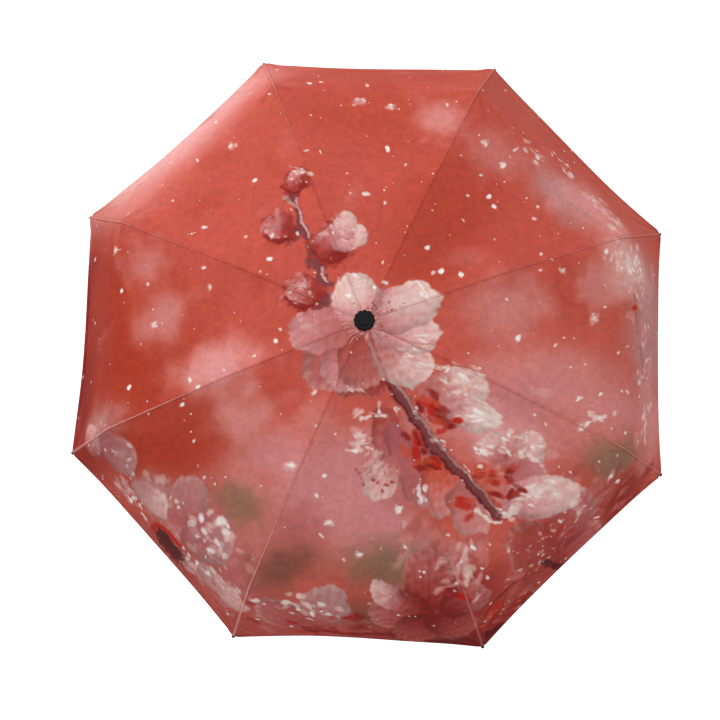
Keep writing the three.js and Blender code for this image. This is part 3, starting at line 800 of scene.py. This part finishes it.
def weave(nodes, uv, pitch):
    """Threads over and under, from 0 to 1."""
    split = nodes.add("ShaderNodeSeparateXYZ")
    nodes.join(uv, split.inputs[0])
    waves = []
    for axis in ("X", "Y"):
        turns_of = nodes.math("MULTIPLY", split.outputs[axis], 2 * pi / pitch)
        waves.append(nodes.math("SINE", turns_of))
    crossed = nodes.math("MULTIPLY", waves[0], waves[1])
    return nodes.math("MULTIPLY_ADD", crossed, 0.5, 0.5)


def snow_dots(nodes, uv, cells, radius, share):
    """A mask of small round spots, in some cells of an uneven grid."""
    cell = nodes.add("ShaderNodeTexVoronoi", feature="F1")
    nodes.join(uv, cell.inputs["Vector"])
    cell.inputs["Scale"].default_value = cells
    dot = nodes.ramp(cell.outputs["Distance"], radius * cells * 0.7, radius * cells * 1.2, 1.0, 0.0)
    pick = nodes.add("ShaderNodeSeparateColor")
    nodes.join(cell.outputs["Color"], pick.inputs[0])
    chosen = nodes.math("LESS_THAN", pick.outputs[0], share)
    return nodes.math("MULTIPLY", dot, chosen)


def cloth_material():
    """Printed polyester: paint, mottling, small snow and fine weave, with little gloss."""
    nodes = Nodes("canopy_print")
    uv = nodes.uv("cloth")
    colour = nodes.add("ShaderNodeAttribute", attribute_name="print").outputs["Color"]
    wide = nodes.noise(uv, 14.0, 4.0, 0.6)
    fine = nodes.noise(uv, 95.0, 5.0, 0.65)
    for noise, dark, light in ((wide, 0.96, 1.04), (fine, 0.9, 1.1)):
        tone = nodes.ramp(noise, 0.28, 0.72, dark, light)
        colour = nodes.mix(1.0, colour, tone, "MULTIPLY")
    for cells, radius, share in ((58.0, 1.5 * MM, 0.16), (100.0, 0.9 * MM, 0.14)):
        dots = nodes.math("MULTIPLY", snow_dots(nodes, uv, cells, radius, share), 0.7)
        colour = nodes.mix(dots, colour, rgba(linear(SNOW)))
    threads = weave(nodes, uv, 0.9 * MM)
    colour = nodes.mix(nodes.math("MULTIPLY", threads, 0.06), colour, (1, 1, 1, 1), "SOFT_LIGHT")
    nodes.set(Base_Color=colour, Roughness=nodes.ramp(fine, 0.2, 0.8, 0.55, 0.7))
    nodes.set(Specular_IOR_Level=0.03)
    crumple = nodes.math("MULTIPLY", nodes.noise(uv, 60.0, 4.0, 0.55), 6.0)
    nodes.bump(nodes.math("ADD", crumple, threads), 0.12 * MM, 0.6)
    return nodes.material


def lining_material():
    """The cloth's dark coated underside."""
    nodes = Nodes("canopy_coating")
    uv = nodes.uv("cloth")
    fine = nodes.noise(uv, 70.0, 4.0, 0.6)
    dark, light = rgba(linear(srgb("#1c1b1e"))), rgba(linear(srgb("#2c2a2e")))
    nodes.set(Base_Color=nodes.mix(fine, dark, light), Roughness=nodes.ramp(fine, 0.2, 0.8, 0.42, 0.6))
    nodes.set(Sheen_Weight=0.15, Specular_IOR_Level=0.4)
    crumple = nodes.math("MULTIPLY", nodes.noise(uv, 50.0, 4.0, 0.55), 6.0)
    nodes.bump(nodes.math("ADD", crumple, weave(nodes, uv, 0.9 * MM)), 0.12 * MM, 0.6)
    return nodes.material


def plastic_material(name, colour, low, high, grain=420.0, depth=0.05, gloss=0.4):
    """Moulded plastic: fine grain, uneven gloss and slightly paler wear."""
    nodes = Nodes(name)
    place = nodes.place()
    fine, wide = nodes.noise(place, grain, 4.0, 0.6), nodes.noise(place, 45.0, 3.0, 0.5)
    base = linear(srgb(colour))
    wear_and_highlight = rgba(np.minimum(base * 1.9 + 0.006, 1))
    nodes.set(Base_Color=nodes.mix(nodes.ramp(wide, 0.45, 0.8, 0.0, 0.5), rgba(base), wear_and_highlight))
    nodes.set(Roughness=nodes.ramp(nodes.math("ADD", fine, wide), 0.6, 1.4, low, high))
    nodes.set(Specular_IOR_Level=gloss)
    nodes.bump(fine, depth * MM, 0.5)
    return nodes.material


def metal_material(name, colour, low, high, stretch=(1, 1, 0.04)):
    """Drawn metal, with fine scratches along Z and uneven gloss."""
    nodes = Nodes(name)
    lie = nodes.add("ShaderNodeMapping")
    nodes.join(nodes.place(), lie.inputs["Vector"])
    lie.inputs["Scale"].default_value = stretch
    scratch = nodes.noise(lie.outputs[0], 900.0, 3.0, 0.6)
    wide = nodes.noise(nodes.place(), 30.0, 3.0, 0.5)
    base = linear(srgb(colour))
    nodes.set(Base_Color=nodes.mix(wide, rgba(base * 0.82), rgba(base)), Metallic=1.0)
    nodes.set(Roughness=nodes.ramp(scratch, 0.3, 0.7, low, high))
    nodes.bump(scratch, 0.02 * MM, 0.4)
    return nodes.material


PRINT_CLOTH = cloth_material()
LINING = lining_material()
BLACK_PLASTIC = plastic_material("black_plastic", "#18181a", 0.32, 0.5)
CAP_PLASTIC = plastic_material("cap_plastic", "#0b0b0d", 0.4, 0.6, 700.0, 0.03, 0.12)
SOFT_GRIP = plastic_material("soft_grip", "#1b1b1d", 0.6, 0.8, 900.0, 0.1)
RIB_STEEL = metal_material("rib_steel", "#b9babd", 0.25, 0.45, (1, 1, 1))
BLACK_STEEL = plastic_material("black_steel", "#141416", 0.28, 0.42)
SHAFT_STEEL = metal_material("shaft_steel", "#c9cacd", 0.16, 0.32)


# ---- canopy pieces ----
def finished_mesh(name, points, faces, materials, face_slots=None, sharp=45):
    mesh = bpy.data.meshes.new(name)
    mesh.from_pydata(points, [], faces)
    for material in materials:
        mesh.materials.append(material)
    if face_slots is not None:
        mesh.polygons.foreach_set("material_index", np.asarray(face_slots, np.int32))
    mesh.polygons.foreach_set("use_smooth", np.ones(len(mesh.polygons), bool))
    mesh.update()
    mesh.set_sharp_from_angle(angle=radians(sharp))
    piece = bpy.data.objects.new(name, mesh)
    bpy.context.scene.collection.objects.link(piece)
    return piece


def add_uv(mesh, name, values):
    """A UV map from one (u, v) pair for each vertex."""
    layer = mesh.uv_layers.new(name=name)
    corner = np.empty(len(mesh.loops), np.int32)
    mesh.loops.foreach_get("vertex_index", corner)
    layer.data.foreach_set("uv", np.asarray(values, np.float32)[corner].ravel())


def add_colour(mesh, name, values):
    layer = mesh.color_attributes.new(name=name, type="FLOAT_COLOR", domain="POINT")
    full = np.ones((len(values), 4), np.float32)
    full[:, :3] = values
    layer.data.foreach_set("color", full.ravel())


def turn_about_axis(points, angle, side=1):
    """Points of the rib's frame in the row frame, mirrored across the rib where side is -1."""
    x, y, z = points[..., 0], points[..., 1] * side, points[..., 2]
    return np.stack([x * cos(angle) - y * sin(angle), x * sin(angle) + y * cos(angle), z], -1)


def numbered(rows, columns, first=0):
    """Vertex numbers laid out as a grid."""
    return np.arange(rows * columns).reshape(rows, columns) + first


def grid_faces(index, outwards=True):
    """A four-sided face for each cell of a grid of vertex numbers."""
    a, b, c, d = index[:-1, :-1], index[:-1, 1:], index[1:, 1:], index[1:, :-1]
    order = (a, b, c, d) if outwards else (a, d, c, b)
    return np.stack(order, -1).reshape(-1, 4).tolist()


def shell_faces(rows, columns, step):
    """Faces of a closed shell: a fine top grid, an underside with one vertex in step, and the rim."""
    top = numbered(rows, columns)
    under = numbered((rows - 1) // step + 1, (columns - 1) // step + 1, rows * columns)
    faces = [grid_faces(top, False), grid_faces(under), []]
    for edge, low in (
        (top[:, 0], under[:, 0]),
        (top[::-1, -1], under[::-1, -1]),
        (top[0, ::-1], under[0, ::-1]),
        (top[-1], under[-1]),
    ):
        edge, low = edge.tolist(), low.tolist()
        for i in range(len(low) - 1):
            faces[2].append([*edge[i * step : (i + 1) * step + 1], low[i + 1], low[i]])
    slots = np.repeat([0, 1, 0], [len(part) for part in faces])
    return sum(faces, []), slots


def turned_skin(rings, first, last):
    """A closed skin over equal rings of points, with a middle point at each end."""
    index = numbered(len(rings), len(rings[0]))
    index = np.concatenate([index, index[:, :1]], 1)
    faces = grid_faces(index)
    start, end = index[0].tolist(), index[-1].tolist()
    middle = len(rings) * len(rings[0])
    for i in range(len(rings[0])):
        faces += [[start[i + 1], start[i], middle], [end[i], end[i + 1], middle + 1]]
    return np.concatenate([*rings, [first, last]]), faces


def whole_steps(length, step):
    """A number of spaces near length / SPACING that the underside's step divides."""
    return max(1, round(length / SPACING / step)) * step


def zone_grid(zone):
    """The places (s, u) of a zone's vertices, from one knee's seam line to the next."""
    fine_u = np.linspace(0, 1, ACROSS_SAMPLES)
    start = seam_line(zone - 1, fine_u) if zone else 0 * fine_u
    end = seam_line(zone, fine_u) if zone < 2 else 0 * fine_u + rib_length
    widest = gore_surface(end if zone == 0 else 0 * fine_u + rib_length, fine_u)
    width = np.linalg.norm(np.diff(widest, axis=0), axis=-1).sum()
    columns = whole_steps(width, UNDERSIDE_STEP) + 1
    rows = whole_steps(float(np.max(end - start)), UNDERSIDE_STEP) + 1
    u = np.linspace(0, 1, columns)
    low, high = np.interp(u, fine_u, start), np.interp(u, fine_u, end)
    t = np.linspace(0, 1, rows)[:, None]
    return low + (high - low) * t, np.broadcast_to(u, (rows, columns))


plan_s = np.linspace(0, rib_length, PLAN_SAMPLES)
plan_radii = profile(plan_s, RIB_ROUNDING)[:, 0]


def cloth_plan(points):
    """Where points lie on the flat cloth: distance from the crown measured along a rib."""
    azimuth = np.arctan2(points[..., 1], points[..., 0])
    radius = np.hypot(points[..., 0], points[..., 1])
    reach = np.interp(radius, plan_radii, plan_s) + CLOTH_START
    return np.stack([reach * np.cos(azimuth), reach * np.sin(azimuth)], -1)


# Where mid gore comes to when the umbrella is folded: radius from the shaft at each zone's outer end.
FOLDED_RADII = (19.5 * MM, 25 * MM, 36 * MM)


def squash_facts(zone):
    """The axis and share that bring mid gore to its folded place, in the rib's frame."""
    mid_gore = np.ones(1)
    end_s = seam_line(zone, mid_gore) if zone < 2 else mid_gore * rib_length
    end = gore_surface(end_s, mid_gore)[0]
    d, n = along[zone], above(along[zone])
    start = corners[zone]
    offset = np.array([end[0], end[2]]) - start
    spread = np.array([end[1], offset @ n])  # across the rib, and square to it on the cloth's side
    foot = start + d * (offset @ d)
    folded_foot = folded_pivots[zone] + turned(foot - pivots[zone], turns[zone])
    folded_n = turned(n, turns[zone])
    target = FOLDED_RADII[zone] * np.array([sin(HALF_GORE), cos(HALF_GORE)])
    wanted = np.array([target[0], (target[1] - folded_foot[0]) / folded_n[0]])
    change = wanted - spread
    axis = change / np.linalg.norm(change)
    share = np.linalg.norm(change) / abs(spread @ axis)
    direction = np.array([axis[1] * n[0], axis[0], axis[1] * n[1]])
    return direction, max(1 - share, 0.004), np.array([start[0], 0, start[1]])


ZONE_NAMES = ("inner", "middle", "outer")


def canopy_piece(number, zone, side):
    """One half gore over one rib, as a closed shell with a printed top and a coated underside."""
    azimuth = rib_azimuth(number)
    s, u = zone_grid(zone)
    flat = gore_surface(s, u)
    normals = gore_normals(s, u)
    height = crease_height(flat, s, u, number - 1, side)
    top = flat + normals * height[..., None]
    faces, slots = shell_faces(*s.shape, UNDERSIDE_STEP)
    picks = (slice(None, None, UNDERSIDE_STEP),) * 2
    # the coarser underside hangs a little lower where the cloth bends sharply
    near_bend = np.abs(s[..., None] - marks[1:]).min(-1)
    thick = CLOTH_THICK + 0.7 * MM * np.exp(-near_bend / (9 * MM))
    bottom = (top - normals * thick[..., None])[picks]
    points = np.concatenate([top.reshape(-1, 3), bottom.reshape(-1, 3)])
    placed = turn_about_axis(points, azimuth, side)
    side_name = "left" if side > 0 else "right"
    if side < 0:
        faces = [face[::-1] for face in faces]
    name = f"canopy_{ZONE_NAMES[zone]}_{number}_{side_name}"
    piece = finished_mesh(name, placed, faces, [PRINT_CLOTH, LINING], slots)
    plan = cloth_plan(placed)
    add_uv(piece.data, "cloth", plan)
    hem = 0.55 * smooth(rib_length - 3 * MM, rib_length - 1 * MM, s)
    edges = np.concatenate([hem.ravel(), hem[picks].ravel()])
    canopy_plans.append((piece, plan, edges, 0 * edges))
    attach(piece, f"{BODIES[zone]}_{number}")
    direction, keep, anchor = squash_facts(zone)
    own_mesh(piece)
    cell = np.linalg.norm(np.cross(top[1:, 1:] - top[:-1, :-1], top[1:, :-1] - top[:-1, 1:]), axis=-1)
    area = float(cell.sum() / 2)
    length = float(np.max(s) - np.min(s))
    width = float(np.abs(top[..., 1]).max() / cos(HALF_GORE))
    flat = (max(width, area / length), length)
    return piece


# on these ribs the tape's painted highlight is stronger
HIGHLIGHT_TAPES = (5, 6)  # ribs whose tape shows as a light line


def seam_strip(number, zone, start, end):
    """The stitched tape over a rib from start to end, laid over the knee between two ribs."""
    azimuth = rib_azimuth(number)
    s = np.arange(start, end, 2 * MM)[:, None]
    half = (1.7 + 1.7 * smooth(marks[2] - 25 * MM, marks[2] + 6 * MM, s)) * MM
    across = np.array([-1, -0.72, -0.45, 0, 0.45, 0.72, 1]) * half
    radius = profile(s[:, 0], RIB_ROUNDING)[:, :1]
    points = gore_surface(s + 0 * across, np.abs(across) / (radius * sin(HALF_GORE) * cos(HALF_GORE)))
    points[..., 1] *= np.sign(across)
    ridge = np.array([-0.25, 0.3, 0.5, 0.55, 0.5, 0.3, -0.25]) * MM
    points[..., 2] += ridge + 0.15 * MM * np.sin(s / (2.1 * MM)) * (np.abs(across) > 0.6 * half)
    faces = grid_faces(numbered(*across.shape), False)
    placed = turn_about_axis(points.reshape(-1, 3), azimuth)
    piece = finished_mesh(f"seam_{ZONE_NAMES[zone]}_{number}", placed, faces, [PRINT_CLOTH])
    plan = cloth_plan(placed)
    add_uv(piece.data, "cloth", plan)
    edges = np.tile([0.9, 0.9, 0.15, 0, 0.15, 0.9, 0.9], len(s)) * 0.75
    # painted highlight: the raised middle of the tape turns paler over its outer part
    strength = (0.6 if number in HIGHLIGHT_TAPES else 0.2) * smooth(0.3, 0.6, s / rib_length)
    wear_and_highlight = (strength * [0, 0, 0.7, 1, 1, 0, 0]).ravel()
    canopy_plans.append((piece, plan, edges, wear_and_highlight))
    knee = profile(marks[[zone, zone]] + [-9 * MM, 9 * MM], RIB_ROUNDING)
    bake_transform(piece)
    return piece


canopy_plans = []


def canopy():
    """All of the cloth, with its print painted at once so that it runs across the pieces."""
    middle = (marks[1] + marks[2]) / 2
    for number in range(1, RIBS + 1):
        tapes = {1: seam_strip(number, 1, 6 * MM, middle), 2: seam_strip(number, 2, middle, rib_length)}
        for zone in range(3):
            for side in (1, -1):
                piece = canopy_piece(number, zone, side)
                if zone < 2 and side > 0:
                    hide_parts(f"canopy_{('inner', 'outer')[zone]}_{number}")
    plans = np.concatenate([plan for _, plan, *_ in canopy_plans])
    colours = painted(plans[:, 0] / MM, plans[:, 1] / MM)
    done = 0
    for piece, plan, edges, wear_and_highlight in canopy_plans:
        own = colours[done : done + len(plan)]
        own = own + (linear(WINE) - own) * edges[:, None]
        # the tapes' painted highlight goes on here too
        add_colour(piece.data, "print", own + (linear(PALE_HAZE) - own) * wear_and_highlight[:, None])
        done += len(plan)


canopy()


# ---- the cap on top ----
CAP_LOBES = 12
CAP_RINGS = (  # share of the radius, depth of the scallops in mm, share of the height
    (0.94, 1.7, 0.0),
    (0.985, 1.9, 0.06),
    (1.0, 2.0, 0.2),
    (1.0, 2.0, 0.4),
    (0.985, 1.9, 0.52),
    (0.94, 1.6, 0.6),
    (0.86, 1.2, 0.655),
    (0.74, 0.6, 0.69),
    (0.62, 0.15, 0.71),
    (0.55, 0, 0.715),
    (0.54, 0, 0.74),
    (0.54, 0, 0.92),
    (0.53, 0, 0.97),
    (0.5, 0, 1.0),
    (0.2, 0, 1.0),
    (0.17, 0, 0.97),
    (0.1, 0, 0.95),
)
TIP_RINGS = (  # place along the rib from its end, and radius, in mm
    (-11, 1.9),
    (-10.5, 2.5),
    (-7.5, 2.6),
    (-7, 2.1),
    (-2.5, 2.1),
    (-2, 2.7),
    (-0.6, 2.6),
    (0.2, 1.6),
)


def round_angles(sides):
    return np.linspace(0, 2 * pi, sides, endpoint=False)


def cap():
    """The scalloped cap: a skirt with rounded lobes, a soft shoulder and a flat disc."""
    places = [v.co for v in frame["nodes"]["top_cap"].data.vertices]
    low, high = min(v[2] for v in places), max(v[2] for v in places)
    radius = max(hypot(v[0], v[1]) for v in places)
    turn = round_angles(20 * CAP_LOBES)
    lobes = np.abs(np.cos(turn * CAP_LOBES / 2)) ** 0.55
    rings = []
    for share, depth, level in CAP_RINGS:
        r = radius * share - depth * MM * (1 - lobes)
        z = np.full(len(turn), low + (high - low) * level)
        rings.append(np.stack([r * np.cos(turn), r * np.sin(turn), z], -1))
    skin = turned_skin(rings, (0, 0, low), (0, 0, rings[-1][0, 2]))
    piece = finished_mesh("cap_scalloped", *skin, [CAP_PLASTIC], sharp=50)
    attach(piece, "top_tube")
    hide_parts("top_cap")


def rib_tips():
    """A small black ferrule on each rib's end, which holds the corner of the cloth."""
    turn = round_angles(24)
    d, n = along[2], above(along[2])

    def on_rib(place, up=0.0, sideways=0.0):
        return rib_end[0] + d[0] * place + n[0] * up, sideways, rib_end[1] + d[1] * place + n[1] * up

    rings = [[on_rib(place * MM, r * MM * cos(f), -r * MM * sin(f)) for f in turn] for place, r in TIP_RINGS]
    points, faces = turned_skin(rings, on_rib(-11 * MM), on_rib(0.4 * MM))
    for number in range(1, RIBS + 1):
        placed = turn_about_axis(points, rib_azimuth(number))
        piece = finished_mesh(f"tip_{number}", placed, faces, [CAP_PLASTIC])
        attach(piece, f"outer_rib_{number}")


cap()
rib_tips()


# ---- materials of the CAD pieces ----
def repaint():
    finishes = (
        ("handle_grip", SOFT_GRIP),
        ("handle_end_cap", BLACK_PLASTIC),
        ("push_button", BLACK_PLASTIC),
        ("crown_hub", BLACK_PLASTIC),
        ("top_cap", BLACK_PLASTIC),
        ("runner", BLACK_PLASTIC),
        ("outer_rib", BLACK_STEEL),
        ("inner_rib", RIB_STEEL),
        ("middle_rib", RIB_STEEL),
        ("stretcher", RIB_STEEL),
    )
    for name, node in frame["nodes"].items():
        if name.endswith("_tube"):
            material = SHAFT_STEEL
        else:
            material = next((m for start, m in finishes if name.startswith(start)), None)
        if material is None:
            continue
        node.data.materials.clear()
        node.data.materials.append(material)


repaint()


# ---- floor, light and camera ----
CANOPY_RADIUS = float(rib_end[0])
LOOK_AT = Vector((0, 0, float(rib_end[1])))


def studio():
    bpy.ops.mesh.primitive_plane_add(size=14, location=(0, 0, 0))
    floor = bpy.context.object
    floor.name = "floor"
    nodes = Nodes("floor_white")
    nodes.set(Base_Color=(0.9, 0.9, 0.9, 1), Roughness=0.9, Specular_IOR_Level=0.1)
    nodes.set(Emission_Color=(1, 1, 1, 1), Emission_Strength=0.6)
    floor.data.materials.append(nodes.material)
    world = bpy.data.worlds.new("studio")
    bpy.context.scene.world = world
    world.use_nodes = True
    sky = world.node_tree.nodes["Background"]
    sky.inputs["Color"].default_value = (1, 1, 1, 1)
    sky.inputs["Strength"].default_value = 0.4
    for name, place, size, power in (
        ("overhead", (0.1, 0.2, 3.2), 2.6, 54),
        ("key", (-2.3, 2.4, 1.2), 1.0, 52),
    ):
        light = bpy.data.lights.new(name, "AREA")
        light.size = size
        light.energy = power
        lamp = bpy.data.objects.new(name, light)
        bpy.context.scene.collection.objects.link(lamp)
        lamp.location = place
        lamp.rotation_euler = (LOOK_AT - Vector(place)).to_track_quat("-Z", "Y").to_euler()
    bpy.context.scene.view_settings.view_transform = "Standard"


def camera():
    """Almost straight above, a little towards the viewer, as near as a person would stand."""
    distance = 3 * CANOPY_RADIUS
    elevation, swing, roll = radians(82.4), radians(-77.5), radians(10.5)
    back = Vector((cos(elevation) * cos(swing), cos(elevation) * sin(swing), sin(elevation)))
    right = Vector((-sin(swing), cos(swing), 0))
    up = back.cross(right)
    turn = Matrix((right, up, back)).transposed() @ Matrix.Rotation(-roll, 3, "Z")
    data = bpy.data.cameras.new("camera")
    data.sensor_width = 36
    data.lens = data.sensor_width * 3 * 0.4353  # the canopy's radius is this share of the frame
    data.shift_x, data.shift_y = -0.0119, -0.0236
    made = bpy.data.objects.new("camera", data)
    made.matrix_world = Matrix.Translation(LOOK_AT + back * distance) @ turn.to_4x4()
    bpy.context.scene.collection.objects.link(made)
    bpy.context.scene.camera = made


studio()
camera()
